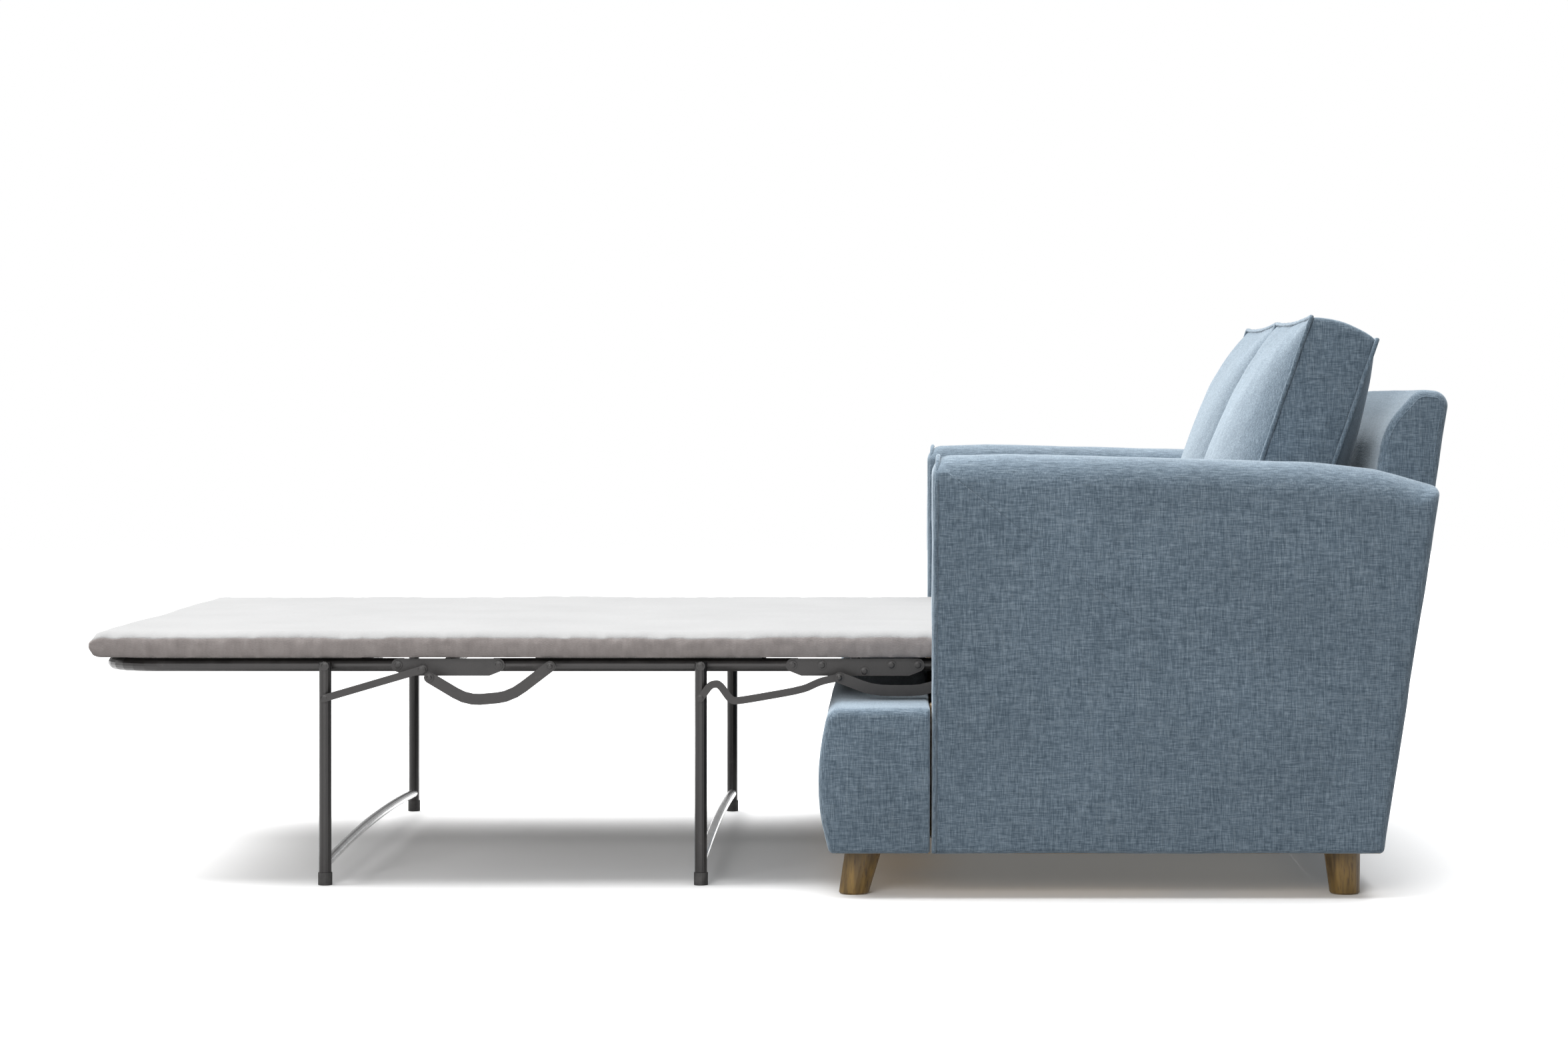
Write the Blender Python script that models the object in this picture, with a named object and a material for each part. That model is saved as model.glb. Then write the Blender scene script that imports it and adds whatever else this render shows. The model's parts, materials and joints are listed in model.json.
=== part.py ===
"""Two-seat sofa bed with its folding bed pulled open.

Metres, +Z up.  The sofa's front faces -Y and the bed reaches towards -Y.  The origin is on the floor,
at the middle of the whole open length and width.
"""
import math

import bmesh
import bpy
from mathutils import Matrix, Vector

for old in list(bpy.data.objects):
    bpy.data.objects.remove(old, do_unlink=True)

# ---------------------------------------------------------------- driving dimensions
TOUCH = 0.0003              # gap kept between two pieces that touch
INNER_WIDTH = 1.240         # between the arms
ARM_WIDTH = 0.160
SOFA_DEPTH = 1.018          # front of the border to the rear of the backrest
ARM_SETBACK = 0.176         # border front to arm front
ARM_HEIGHT = 0.700
ARM_REAR_HEIGHT = 0.645
ARM_REAR_INSET = 0.012      # arm's rear inside the backrest's rear
ARM_SHOULDER = 0.014        # fall of the arm's top before it rounds down to the rear
BACK_HEIGHT = 0.803
BACK_THICKNESS = 0.095
BACK_TOP = 0.064            # thickness at the top of the backrest
BACK_TAPER = 0.090          # height over which it thins
BACK_LEAN = 0.155           # run of the backrest per unit of rise
BORDER_HEIGHT = 0.300
BORDER_BULGE = 0.018
BODY_CLEAR = 0.070          # floor to the underside of the body
BOARD = 0.012               # base boards under the arms and border
BOARD_INSET = 0.010
SHEET = 0.003               # dust cover
TIMBER = 0.0345             # side rail thickness
TIMBER_CLEAR = 0.0005       # timber to the arm
TIMBER_TOP = 0.295
REAR_RAIL = 0.035
EASE = 0.002                # eased edge of timber and brackets
WOOD_LEG_INSET = 0.075      # centre of a wooden leg, inside the arm's outer face
PLATE_SIDE = 0.070          # mounting plates of the wooden legs
WOOD_TOP = 0.058            # across the top of a wooden leg
WOOD_BOTTOM = 0.048

BED_HEIGHT = 0.355          # floor to the centre of the bed's rails
FOOT_LENGTH = 0.498         # mattress tip to the first foot pivot
FOOT_HINGE = 0.163          # between the two foot pivots
MID_LENGTH = 0.478
HEAD_HINGE = 0.204
HEAD_PIVOT_INSET = 0.158    # border front to the last pivot
HEAD_LENGTH = 0.620         # last pivot to the head end of the mattress
RAIL_R = 0.011
CROSS_R = 0.009
FRAME_TIP_INSET = 0.010
CORNER_R = 0.085
DECK = 0.0018
DECK_INSET = 0.001          # deck edge inside the rail's outer face
MATTRESS = 0.0420
MATTRESS_SIDE_CLEAR = 0.020   # mattress edge to the arm
PAD_SIDE_INSET = 0.009      # hinge pad edge to the rail's inner face
FOOT_GAP = 0.060            # mattress end to a pivot that turns 90 degrees
HEAD_GAP = 0.050            # mattress end to a pivot that turns 45 degrees
PAD_END = 0.002
PAD_BEVEL = 0.008

STEEL = 0.003               # links and braces
PLATE_STEEL = 0.0032
HEAD = 0.003                # height of a bolt head
HEAD_R = 0.0075
SIDE_CLEAR = 0.004          # outermost bolt head to the arm
LAYER = 0.001               # between links and braces
LEG_R = 0.010
LEG_CLEAR = 0.003           # between the leg tube and the brace
LEG_TO_RAIL = 0.007         # between the leg tube and the rail
HEAD_CLEAR = 0.0006         # a leg's pivot head to the brace
CAP_R = 0.0115
CAP_HEIGHT = 0.020
BAR_R = 0.008
BAR_HEIGHT = 0.034
BAR_BOW = 0.012
STUD_R = 0.006
LEG_1_FROM_A = 0.116        # first U-leg, from the foot section's pivot
LEG_2_FROM_A = 0.148        # second U-leg, from the middle section's pivot
BRACE_DROP = 0.052          # brace bolt below the leg's pivot
PLATE_END = 0.0108          # radius of a hinge plate about its pivots
PLATE_DROP = 0.0065         # how far its lower edge hangs below that
PLATE_SLOPE = 0.0143        # run from a pivot to where that edge is level
LINK_HALF = 0.009
BRACE_HALF = 0.006
LINK_1_FROM_B = 0.087
LINK_2_FROM_B = 0.0885
BRACKET_FROM_B = 0.180      # last pivot to the front of a frame bracket
BRACKET_LENGTH = 0.080
BRACKET_LIFT = 0.070        # underside of a bracket above the body's underside

CUSHION_SIDE_CLEAR = 0.011   # cushion to the arm
CUSHION_SPLIT = 0.006
CUSHION_HEIGHT = 0.490
CUSHION_EDGE = 0.118        # thickness at the piping
CUSHION_FRONT_CROWN = 0.062
CUSHION_REAR_CROWN = 0.038
CUSHION_DOME = 0.45         # lower is flatter in the middle and steeper at the seams
CUSHION_CELLS = 8           # grid of a cushion face
CUSHION_LEAN = math.radians(19.0)
CUSHION_LIFT = 0.012        # rounding of the lower rear edge
CUSHION_FOOT_FROM_REAR = 0.383   # front bottom edge of the cushion, ahead of the sofa's rear

ROUND = 16                  # sides of a tube
SMALL_ROUND = 12            # sides of a bolt head
WOOD_SIDES = 24

# ---------------------------------------------------------------- places worked out from the sizes
W = INNER_WIDTH / 2
HALF_WIDTH = W + ARM_WIDTH
X_ARM = W + ARM_WIDTH / 2
OPEN_LENGTH = FOOT_LENGTH + FOOT_HINGE + MID_LENGTH + HEAD_HINGE + SOFA_DEPTH - HEAD_PIVOT_INSET
Y_TIP = -OPEN_LENGTH / 2
Y_A1 = Y_TIP + FOOT_LENGTH
Y_B1 = Y_A1 + FOOT_HINGE
Y_A2 = Y_B1 + MID_LENGTH
Y_B2 = Y_A2 + HEAD_HINGE
Y_FRONT = Y_B2 - HEAD_PIVOT_INSET
Y_REAR = Y_FRONT + SOFA_DEPTH
Y_ARM = Y_FRONT + ARM_SETBACK
Y_HEAD_END = Y_B2 + HEAD_LENGTH
Y_LEG_1 = Y_A1 - LEG_1_FROM_A
Y_LEG_2 = Y_A2 - LEG_2_FROM_A

Z_BODY = BODY_CLEAR + BOARD + TOUCH
Z_RAIL = BED_HEIGHT
Z_DECK = Z_RAIL + RAIL_R + TOUCH
Z_PAD = Z_DECK + DECK + TOUCH
Z_PAD_TOP = Z_PAD + MATTRESS

# layers across the width, from the arm inwards
X_HEAD = W - SIDE_CLEAR
X_LINK = X_HEAD - HEAD
X_BRACE = X_LINK - STEEL - LAYER
X_LEG = X_BRACE - STEEL - LEG_CLEAR - LEG_R
X_RAIL = X_LEG - LEG_R - LEG_TO_RAIL - RAIL_R
X_PLATE = X_RAIL + RAIL_R + TOUCH
X_TIMBER = W - TIMBER_CLEAR - TIMBER
MATTRESS_HALF = W - MATTRESS_SIDE_CLEAR
CUSHION_WIDTH = W - CUSHION_SPLIT / 2 - CUSHION_SIDE_CLEAR
RAIL_PAST_PIVOT = RAIL_R * 0.8


def back_rear(z):
    """Rear face of the backrest at a height."""
    return Y_REAR - BACK_LEAN * (BACK_HEIGHT - 0.02 - z)


# ---------------------------------------------------------------- helpers
def material(name, colour, rough, metal=0.0):
    mat = bpy.data.materials.new(name)
    mat.use_nodes = True
    shader = mat.node_tree.nodes["Principled BSDF"]
    shader.inputs["Base Color"].default_value = (*colour, 1.0)
    shader.inputs["Roughness"].default_value = rough
    shader.inputs["Metallic"].default_value = metal
    return mat


FABRIC = ((0.115, 0.170, 0.225), 0.92, 0.0)
TICKING = ((0.62, 0.61, 0.60), 0.90, 0.0)
STEEL_PAINT = ((0.035, 0.032, 0.032), 0.42, 0.6)
CHROME = ((0.72, 0.72, 0.72), 0.15, 1.0)
WOOD = ((0.16, 0.085, 0.035), 0.50, 0.0)
TIMBER_RAW = ((0.45, 0.33, 0.20), 0.70, 0.0)
PLASTIC = ((0.02, 0.02, 0.02), 0.60, 0.0)
MESH_CLOTH = ((0.45, 0.44, 0.42), 0.85, 0.0)


def place(name, mesh, look, origin):
    """Make the object, with its origin on its own natural point."""
    mesh.transform(Matrix.Translation(-Vector(origin)))
    obj = bpy.data.objects.new(name, mesh)
    obj.location = origin
    bpy.context.scene.collection.objects.link(obj)
    mesh.materials.clear()
    mesh.materials.append(material(name, *look))
    mesh.shade_smooth()
    mesh.set_sharp_from_angle(angle=math.radians(35))
    return obj


def finish(bm):
    bmesh.ops.recalc_face_normals(bm, faces=bm.faces)
    mesh = bpy.data.meshes.new("mesh")
    bm.to_mesh(mesh)
    bm.free()
    return mesh


def prism(outline, axis, low, high, bevel=0.0, segments=2, corner_angle=50):
    """Extrude a flat outline along one axis and round its sharp edges."""
    bm = bmesh.new()
    if axis == "x":
        base = [bm.verts.new((low, a, b)) for a, b in outline]
        top = [bm.verts.new((high, a, b)) for a, b in outline]
    else:
        base = [bm.verts.new((a, b, low)) for a, b in outline]
        top = [bm.verts.new((a, b, high)) for a, b in outline]
    bm.faces.new(base[::-1])
    bm.faces.new(top)
    count = len(outline)
    for i in range(count):
        j = (i + 1) % count
        bm.faces.new((base[i], base[j], top[j], top[i]))
    bmesh.ops.recalc_face_normals(bm, faces=bm.faces)
    if bevel:
        sharp = [e for e in bm.edges if e.calc_face_angle(0) > math.radians(corner_angle)]
        bmesh.ops.bevel(bm, geom=sharp, offset=bevel, segments=segments, profile=0.5,
                        affect="EDGES", clamp_overlap=True)
    return finish(bm)


def box(low, high, bevel=0.0, segments=1):
    outline = [(low[0], low[1]), (high[0], low[1]), (high[0], high[1]), (low[0], high[1])]
    return prism(outline, "z", low[2], high[2], bevel, segments)


def tube(points, radius, sides=ROUND):
    """Sweep a circle along a path and cap its ends flat."""
    points = [Vector(p) for p in points]
    bm = bmesh.new()
    rings = []
    last = len(points) - 1
    reference = Vector((0, 0, 1))
    if abs((points[1] - points[0]).normalized().z) > 0.9:
        reference = Vector((0, 1, 0))
    for i, point in enumerate(points):
        before = points[max(i - 1, 0)]
        after = points[min(i + 1, last)]
        along = (after - before).normalized()
        side = along.cross(reference).normalized()
        up = side.cross(along).normalized()
        stretch = 1.0
        if 0 < i < last:
            half_turn = (point - before).angle(after - point) / 2
            stretch = 1 / math.cos(half_turn)
        ring = []
        for k in range(sides):
            angle = 2 * math.pi * (k + 0.5) / sides
            offset = side * math.cos(angle) * radius * stretch + up * math.sin(angle) * radius
            ring.append(bm.verts.new(point + offset))
        rings.append(ring)
    for first, second in zip(rings, rings[1:]):
        for k in range(sides):
            n = (k + 1) % sides
            bm.faces.new((first[k], first[n], second[n], second[k]))
    bm.faces.new(rings[0][::-1])
    bm.faces.new(rings[-1])
    return finish(bm)


def rod(x0, x1, y, z, radius, sides=SMALL_ROUND):
    """A short cylinder across the width."""
    return tube([(x0, y, z), (x1, y, z)], radius, sides)


def arc(centre, radius, start, end, steps):
    """Points on an arc, angles in degrees."""
    turn = [math.radians(start + (end - start) * i / steps) for i in range(steps + 1)]
    return [(centre[0] + radius * math.cos(a), centre[1] + radius * math.sin(a)) for a in turn]


def strip(points, half, steps=6):
    """Outline of a flat bar with round ends that follows a line of points."""
    pts = [Vector(p) for p in points]
    left, right = [], []
    last = len(pts) - 1
    for i, p in enumerate(pts):
        before = (p - pts[i - 1]).normalized() if i > 0 else (pts[1] - p).normalized()
        after = (pts[i + 1] - p).normalized() if i < last else before
        along = (before + after).normalized()
        normal = Vector((-along.y, along.x)) / max(along.dot(before), 0.5)
        left.append(tuple(p + normal * half))
        right.append(tuple(p - normal * half))
    first_dir = pts[1] - pts[0]
    last_dir = pts[-1] - pts[-2]
    a0 = math.degrees(math.atan2(first_dir.y, first_dir.x))
    a1 = math.degrees(math.atan2(last_dir.y, last_dir.x))
    head = arc(pts[0], half, a0 + 90, a0 + 270, steps)
    tail = arc(pts[-1], half, a1 - 90, a1 + 90, steps)
    return head + right[1:-1] + tail + left[1:-1][::-1]


def soften(points, times=2, share=0.18):
    """Round the bends of a line by cutting a share off each side of its corners, with both ends kept."""
    line = [Vector(p) for p in points]
    for _ in range(times):
        cut = [line[0]]
        for p, q in zip(line, line[1:]):
            cut += [p.lerp(q, share), p.lerp(q, 1 - share)]
        line = [cut[0]] + cut[2:-1] + [line[-1]]
    return line


def plate_outline(y0, y1):
    """Outline of a hinge plate: round ends about its pivots and a deeper lower edge between them."""
    low = Z_RAIL - PLATE_END - PLATE_DROP
    near = arc((y0, Z_RAIL), PLATE_END, 90, 250, 6)
    far = arc((y1, Z_RAIL), PLATE_END, -70, 90, 6)
    return near + [(y0 + PLATE_SLOPE, low), (y1 - PLATE_SLOPE, low)] + far


def join(meshes):
    """Boolean union of several closed meshes into one mesh."""
    objs = []
    for mesh in meshes:
        obj = bpy.data.objects.new("join", mesh)
        bpy.context.scene.collection.objects.link(obj)
        objs.append(obj)
    base = objs[0]
    for other in objs[1:]:
        mod = base.modifiers.new("join", "BOOLEAN")
        mod.operation = "UNION"
        mod.solver = "EXACT"
        mod.object = other
    graph = bpy.context.evaluated_depsgraph_get()
    result = bpy.data.meshes.new_from_object(base.evaluated_get(graph))
    for obj in objs:
        bpy.data.objects.remove(obj, do_unlink=True)
    return result


def mirrored(mesh):
    """A copy of the mesh on the other side of X = 0."""
    other = mesh.copy()
    other.transform(Matrix.Scale(-1, 4, (1, 0, 0)))
    other.flip_normals()
    return other


def pair(name, mesh, look, origin):
    """Right and left copies of one piece."""
    left = mirrored(mesh)
    place(name + "_right", mesh, look, (origin[0], origin[1], origin[2]))
    place(name + "_left", left, look, (-origin[0], origin[1], origin[2]))


# ---------------------------------------------------------------- sofa body
def make_arms():
    rear_top = back_rear(ARM_REAR_HEIGHT) - ARM_REAR_INSET
    rear_low = back_rear(Z_BODY) - ARM_REAR_INSET
    shoulder = ARM_HEIGHT - ARM_SHOULDER
    outline = [(Y_ARM + TOUCH, Z_BODY), (rear_low, Z_BODY), (rear_top, ARM_REAR_HEIGHT),
               (rear_top - 0.090, shoulder - 0.008), (rear_top - 0.150, shoulder),
               (Y_ARM + 0.060, ARM_HEIGHT), (Y_ARM + 0.012, ARM_HEIGHT - 0.012),
               (Y_ARM + TOUCH, ARM_HEIGHT - 0.045)]
    mesh = prism(outline, "x", W + TOUCH, HALF_WIDTH, 0.016, 3, 30)
    pair("arm", mesh, FABRIC, (X_ARM, Y_ARM, Z_BODY))
    board = box((W + BOARD_INSET, Y_ARM + BOARD_INSET, BODY_CLEAR),
                (HALF_WIDTH - BOARD_INSET, rear_low - BOARD_INSET, Z_BODY - TOUCH))
    pair("arm_base_board", board, TIMBER_RAW, (X_ARM, Y_ARM, BODY_CLEAR))


def make_border():
    steps = 8
    height = BORDER_HEIGHT - Z_BODY
    outline = [(Y_ARM, BORDER_HEIGHT), (Y_ARM, Z_BODY)]
    for i in range(steps + 1):
        t = i / steps
        outline.append((Y_FRONT + BORDER_BULGE * (2 * t - 1) ** 2, Z_BODY + t * height))
    mesh = prism(outline, "x", -HALF_WIDTH, HALF_WIDTH, 0.014, 3, 40)
    place("front_border", mesh, FABRIC, (0, Y_FRONT, Z_BODY))
    board = box((-HALF_WIDTH + BOARD_INSET, Y_FRONT + BORDER_BULGE + BOARD_INSET, BODY_CLEAR),
                (HALF_WIDTH - BOARD_INSET, Y_ARM, Z_BODY - TOUCH))
    place("front_base_board", board, TIMBER_RAW, (0, Y_FRONT, BODY_CLEAR))


def make_backrest():
    """The panel thins towards its top, where its front leans back further than its rear."""
    top = BACK_HEIGHT
    shoulder = top - BACK_TAPER
    outline = [(back_rear(Z_BODY) - BACK_THICKNESS, Z_BODY), (back_rear(Z_BODY), Z_BODY),
               (Y_REAR, top - 0.020), (Y_REAR - 0.010, top - 0.006), (Y_REAR - 0.028, top),
               (Y_REAR - BACK_TOP + 0.008, top - 0.003), (Y_REAR - BACK_TOP, top - 0.012),
               (back_rear(shoulder) - BACK_THICKNESS, shoulder)]
    mesh = prism(outline, "x", -W + TOUCH, W - TOUCH, 0.010, 2, 60)
    place("backrest", mesh, FABRIC, (0, Y_REAR, Z_BODY))


def rear_of_base():
    return back_rear(Z_BODY) - BACK_THICKNESS - 0.002


def make_base():
    z0 = Z_BODY
    rear = rear_of_base()
    side = box((X_TIMBER, Y_ARM + 2 * TOUCH, z0), (W - TIMBER_CLEAR, rear, TIMBER_TOP), EASE)
    pair("side_rail", side, TIMBER_RAW, (X_TIMBER, Y_ARM, z0))
    place("rear_rail", box((-X_TIMBER + TOUCH, rear - REAR_RAIL, z0), (X_TIMBER - TOUCH, rear, TIMBER_TOP),
                           EASE), TIMBER_RAW, (0, rear, z0))
    place("dust_cover", box((-W + TIMBER_CLEAR, Y_ARM + 2 * TOUCH, z0 - TOUCH - SHEET),
                            (W - TIMBER_CLEAR, rear, z0 - TOUCH)), MESH_CLOTH, (0, Y_ARM, z0))


def taper(top_centre, top_width, low_centre, low_width):
    """Round wooden leg, wider at its top and splayed, with a small chamfer at the floor."""
    chamfer = 0.0025
    up = Vector(top_centre) - Vector(low_centre)
    rings = []
    bm = bmesh.new()
    levels = ((0.0, low_width / 2 - chamfer), (chamfer / up.z, low_width / 2), (1.0, top_width / 2))
    for part, radius in levels:
        middle = Vector(low_centre) + up * part
        turn = [2 * math.pi * k / WOOD_SIDES for k in range(WOOD_SIDES)]
        rings.append([bm.verts.new(middle + Vector((math.cos(a), math.sin(a), 0)) * radius) for a in turn])
    bm.faces.new(rings[0][::-1])
    bm.faces.new(rings[-1])
    for first, second in zip(rings, rings[1:]):
        for k in range(WOOD_SIDES):
            n = (k + 1) % WOOD_SIDES
            bm.faces.new((first[k], first[n], second[n], second[k]))
    return finish(bm)


def make_wood_legs():
    top = BODY_CLEAR - 2 * TOUCH - SHEET
    x = HALF_WIDTH - WOOD_LEG_INSET
    places = (("front", Y_FRONT + 0.070, -0.015), ("rear", back_rear(Z_BODY) - 0.076, 0.004))
    for name, y, splay in places:
        leg = taper((x, y, top), WOOD_TOP, (x, y + splay, 0.0), WOOD_BOTTOM)
        pair("wood_leg_" + name, leg, WOOD, (x, y, top))
        h = PLATE_SIDE / 2
        plate = box((x - h, y - h, top + TOUCH), (x + h, y + h, BODY_CLEAR - TOUCH))
        pair("leg_plate_" + name, plate, STEEL_PAINT, (x, y, top))


def make_cushions():
    """Two boxy cushions with crowned faces, leaning back on the backrest."""
    cells = CUSHION_CELLS
    foot = Vector((0, Y_REAR - CUSHION_FOOT_FROM_REAR, Z_PAD_TOP + CUSHION_LIFT))
    up = Vector((0, math.sin(CUSHION_LEAN), math.cos(CUSHION_LEAN)))
    back = Vector((0, math.cos(CUSHION_LEAN), -math.sin(CUSHION_LEAN)))
    lift = CUSHION_EDGE * math.sin(CUSHION_LEAN)
    for name, side in (("right", 1), ("left", -1)):
        x0 = side * CUSHION_SPLIT / 2
        bm = bmesh.new()
        faces = []
        for crown, depth in ((-CUSHION_FRONT_CROWN, 0.0), (CUSHION_REAR_CROWN, CUSHION_EDGE)):
            grid = []
            for i in range(cells + 1):
                row = []
                for k in range(cells + 1):
                    u, v = i / cells, k / cells
                    dome = (4 * u * (1 - u) * 4 * v * (1 - v)) ** CUSHION_DOME
                    p = foot + up * (v * CUSHION_HEIGHT) + back * (depth + crown * dome)
                    p.z += lift
                    p.x = x0 + side * u * CUSHION_WIDTH
                    row.append(bm.verts.new(p))
                grid.append(row)
            faces.append(grid)
        front, rear = faces
        for grid in faces:
            for i in range(cells):
                for k in range(cells):
                    bm.faces.new((grid[i][k], grid[i + 1][k], grid[i + 1][k + 1], grid[i][k + 1]))
        for i in range(cells):
            for k in (0, cells):
                bm.faces.new((front[i][k], front[i + 1][k], rear[i + 1][k], rear[i][k]))
        for k in range(cells):
            for i in (0, cells):
                bm.faces.new((front[i][k], front[i][k + 1], rear[i][k + 1], rear[i][k]))
        origin = (x0 + side * CUSHION_WIDTH / 2, foot.y, foot.z)
        place("back_cushion_" + name, finish(bm), FABRIC, origin)


# ---------------------------------------------------------------- bed frame
def make_section(name, y0, y1, gap0, gap1, head_end=False):
    """A straight section: two rails, two cross tubes, its deck and its mattress."""
    start = y0 - RAIL_PAST_PIVOT
    end = y1 if head_end else y1 + RAIL_PAST_PIVOT
    rails = [tube([(x, start, Z_RAIL), (x, end, Z_RAIL)], RAIL_R) for x in (X_RAIL, -X_RAIL)]
    cross_1 = rod(-X_RAIL, X_RAIL, y0 + gap0 + CROSS_R, Z_RAIL, CROSS_R)
    cross_2 = rod(-X_RAIL, X_RAIL, y1 - gap1 - CROSS_R, Z_RAIL, CROSS_R)
    pivot = (0, y0, Z_RAIL) if head_end else (0, y1, Z_RAIL)
    place(name + "_frame", join([rails[0], cross_1, cross_2, rails[1]]), STEEL_PAINT, pivot)
    low, high = y0 + gap0, y1 - gap1
    edge = X_RAIL + RAIL_R - DECK_INSET
    place(name + "_deck", box((-edge, low, Z_DECK), (edge, high, Z_DECK + DECK)), MESH_CLOTH, pivot)
    pad = box((-MATTRESS_HALF, low, Z_PAD), (MATTRESS_HALF, high, Z_PAD_TOP), PAD_BEVEL, 2)
    place(name + "_mattress", pad, TICKING, pivot)


def make_foot_section():
    """The last section: one tube bent into a U with round corners, a cross tube, deck and mattress."""
    tip = Y_TIP + FRAME_TIP_INSET + RAIL_R
    r = CORNER_R
    path = [(X_RAIL, Y_A1 + RAIL_PAST_PIVOT)]
    path += arc((X_RAIL - r, tip + r), r, 0, -90, 7)
    path += arc((-X_RAIL + r, tip + r), r, -90, -180, 7)
    path += [(-X_RAIL, Y_A1 + RAIL_PAST_PIVOT)]
    hoop = tube([(x, y, Z_RAIL) for x, y in path], RAIL_R)
    cross = rod(-X_RAIL, X_RAIL, Y_A1 - FOOT_GAP - CROSS_R, Z_RAIL, CROSS_R)
    pivot = (0, Y_A1, Z_RAIL)
    place("foot_frame", join([hoop, cross]), STEEL_PAINT, pivot)
    edge = X_RAIL + RAIL_R - DECK_INSET
    end = Y_A1 - FOOT_GAP
    low = tip - RAIL_R + DECK_INSET
    corner = r + RAIL_R - DECK_INSET
    outline = [(edge, end)] + arc((edge - corner, low + corner), corner, 0, -90, 6)
    outline += arc((-edge + corner, low + corner), corner, -90, -180, 6) + [(-edge, end)]
    place("foot_deck", prism(outline, "z", Z_DECK, Z_DECK + DECK), MESH_CLOTH, pivot)
    pad = box((-MATTRESS_HALF, Y_TIP, Z_PAD), (MATTRESS_HALF, end, Z_PAD_TOP), PAD_BEVEL, 2)
    place("foot_mattress", pad, TICKING, pivot)


def make_hinge(name, y0, y1, bolts):
    """Two hinge plates joined by a cross tube that carries a short length of mattress."""
    pivot = (0, y1, Z_RAIL)
    plate = prism(plate_outline(y0, y1), "x", X_PLATE, X_PLATE + PLATE_STEEL)
    heads = [rod(X_PLATE + PLATE_STEEL / 2, X_PLATE + PLATE_STEEL + HEAD - 0.0005, y, z, HEAD_R)
             for y, z in bolts]
    pair(name + "_plate", join([plate] + heads), STEEL_PAINT, (X_PLATE, y1, Z_RAIL))
    middle = (y0 + y1) / 2
    end = X_PLATE - TOUCH
    place(name + "_cross_tube", rod(-end, end, middle, Z_PAD - TOUCH - CROSS_R, CROSS_R, ROUND),
          STEEL_PAINT, pivot)
    side = X_RAIL - RAIL_R - PAD_SIDE_INSET
    place(name + "_pad", box((-side, y0 + PAD_END, Z_PAD), (side, y1 - PAD_END, Z_PAD_TOP), 0.003, 1),
          TICKING, pivot)


def make_u_leg(name, y):
    """A folding leg: two tubes with end caps and a bowed cross bar between them."""
    pivot = (0, y, Z_RAIL)
    stem = tube([(X_LEG, y, CAP_HEIGHT + TOUCH), (X_LEG, y, Z_RAIL + 0.006)], LEG_R)
    stud = rod(X_PLATE, X_LEG, y, Z_RAIL, STUD_R)
    head = rod(X_LEG, X_LEG + LEG_R + LEG_CLEAR - HEAD_CLEAR, y, Z_RAIL, HEAD_R)
    pair(name + "_tube", join([stem, stud, head]), STEEL_PAINT, (X_LEG, y, Z_RAIL))
    cap = tube([(X_LEG, y, 0.0), (X_LEG, y, 0.003), (X_LEG, y, CAP_HEIGHT)], CAP_R)
    pair(name + "_foot_cap", cap, PLASTIC, (X_LEG, y, 0.0))
    end = X_LEG - LEG_R - TOUCH
    steps = 10
    bow = []
    for i in range(steps + 1):
        u = 2 * i / steps - 1
        bow.append((end * u, y, BAR_HEIGHT + BAR_BOW * (1 - u * u)))
    place(name + "_cross_bar", tube(bow, BAR_R), CHROME, pivot)


def make_brace(name, line):
    """A flat bar from the leg's lower bolt to the hinge; its far end is the open pivot."""
    bar = prism(strip(line, BRACE_HALF, 5), "x", X_BRACE - STEEL, X_BRACE)
    y, z = line[0]
    stud = rod(X_LEG + LEG_R + TOUCH, X_BRACE - STEEL / 2, y, z, 0.005)
    far_y, far_z = line[-1]
    nut = rod(X_BRACE - STEEL - 0.004, X_BRACE - STEEL / 2, far_y, far_z, 0.0055)
    pair(name, join([bar, stud, nut]), STEEL_PAINT, (X_BRACE, y, z))


def make_link(name, line):
    """A curved flat link that turns on a stud in the rail; its far end is the open pivot."""
    bar = prism(strip(line, LINK_HALF, 6), "x", X_LINK - STEEL, X_LINK)
    y, z = line[0]
    stud = rod(X_PLATE, X_LINK - STEEL / 2, y, z, STUD_R)
    near = rod(X_LINK - STEEL / 2, X_HEAD, y, z, HEAD_R)
    far = rod(X_LINK - STEEL / 2, X_HEAD, line[-1][0], line[-1][1], HEAD_R)
    pair(name, join([bar, stud, near, far]), STEEL_PAINT, (X_LINK, y, z))


def make_brackets():
    """Blocks that carry the head section's rails on the timber side rails."""
    low = (X_PLATE, Y_B2 + BRACKET_FROM_B, Z_BODY + BRACKET_LIFT)
    high = (X_TIMBER - TOUCH, low[1] + BRACKET_LENGTH, Z_RAIL + RAIL_R)
    pair("frame_bracket", box(low, high, EASE), STEEL_PAINT, (X_PLATE, low[1], Z_RAIL))


def make_links():
    """Links and braces, each line given from its own pivot outwards."""
    z = Z_RAIL
    p1 = (Y_A1 + 0.041, z - 0.006)
    p2 = (Y_A1 + 0.055, z - 0.018)
    c1 = (Y_B1 + LINK_1_FROM_B, z)
    make_link("foot_link", soften([c1, (c1[0] - 0.064, z - 0.049), (c1[0] - 0.133, z - 0.055), p2]))
    make_brace("leg_1_brace", [(Y_LEG_1, z - BRACE_DROP), p1])
    p3 = (Y_A2 + 0.077, z - 0.018)
    c2 = (Y_B2 + LINK_2_FROM_B, z)
    make_link("head_link", soften([c2, (c2[0] - 0.074, z - 0.039), (c2[0] - 0.160, z - 0.039), p3]))
    y = Y_LEG_2
    make_brace("leg_2_brace", soften([(y, z - BRACE_DROP), (y + 0.016, z - 0.030), (y + 0.030, z - 0.028),
                                      (y + 0.050, z - 0.056), (y + 0.068, z - 0.055),
                                      (y + 0.165, z - 0.038), (y + 0.195, z - 0.024), p3]))


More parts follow.
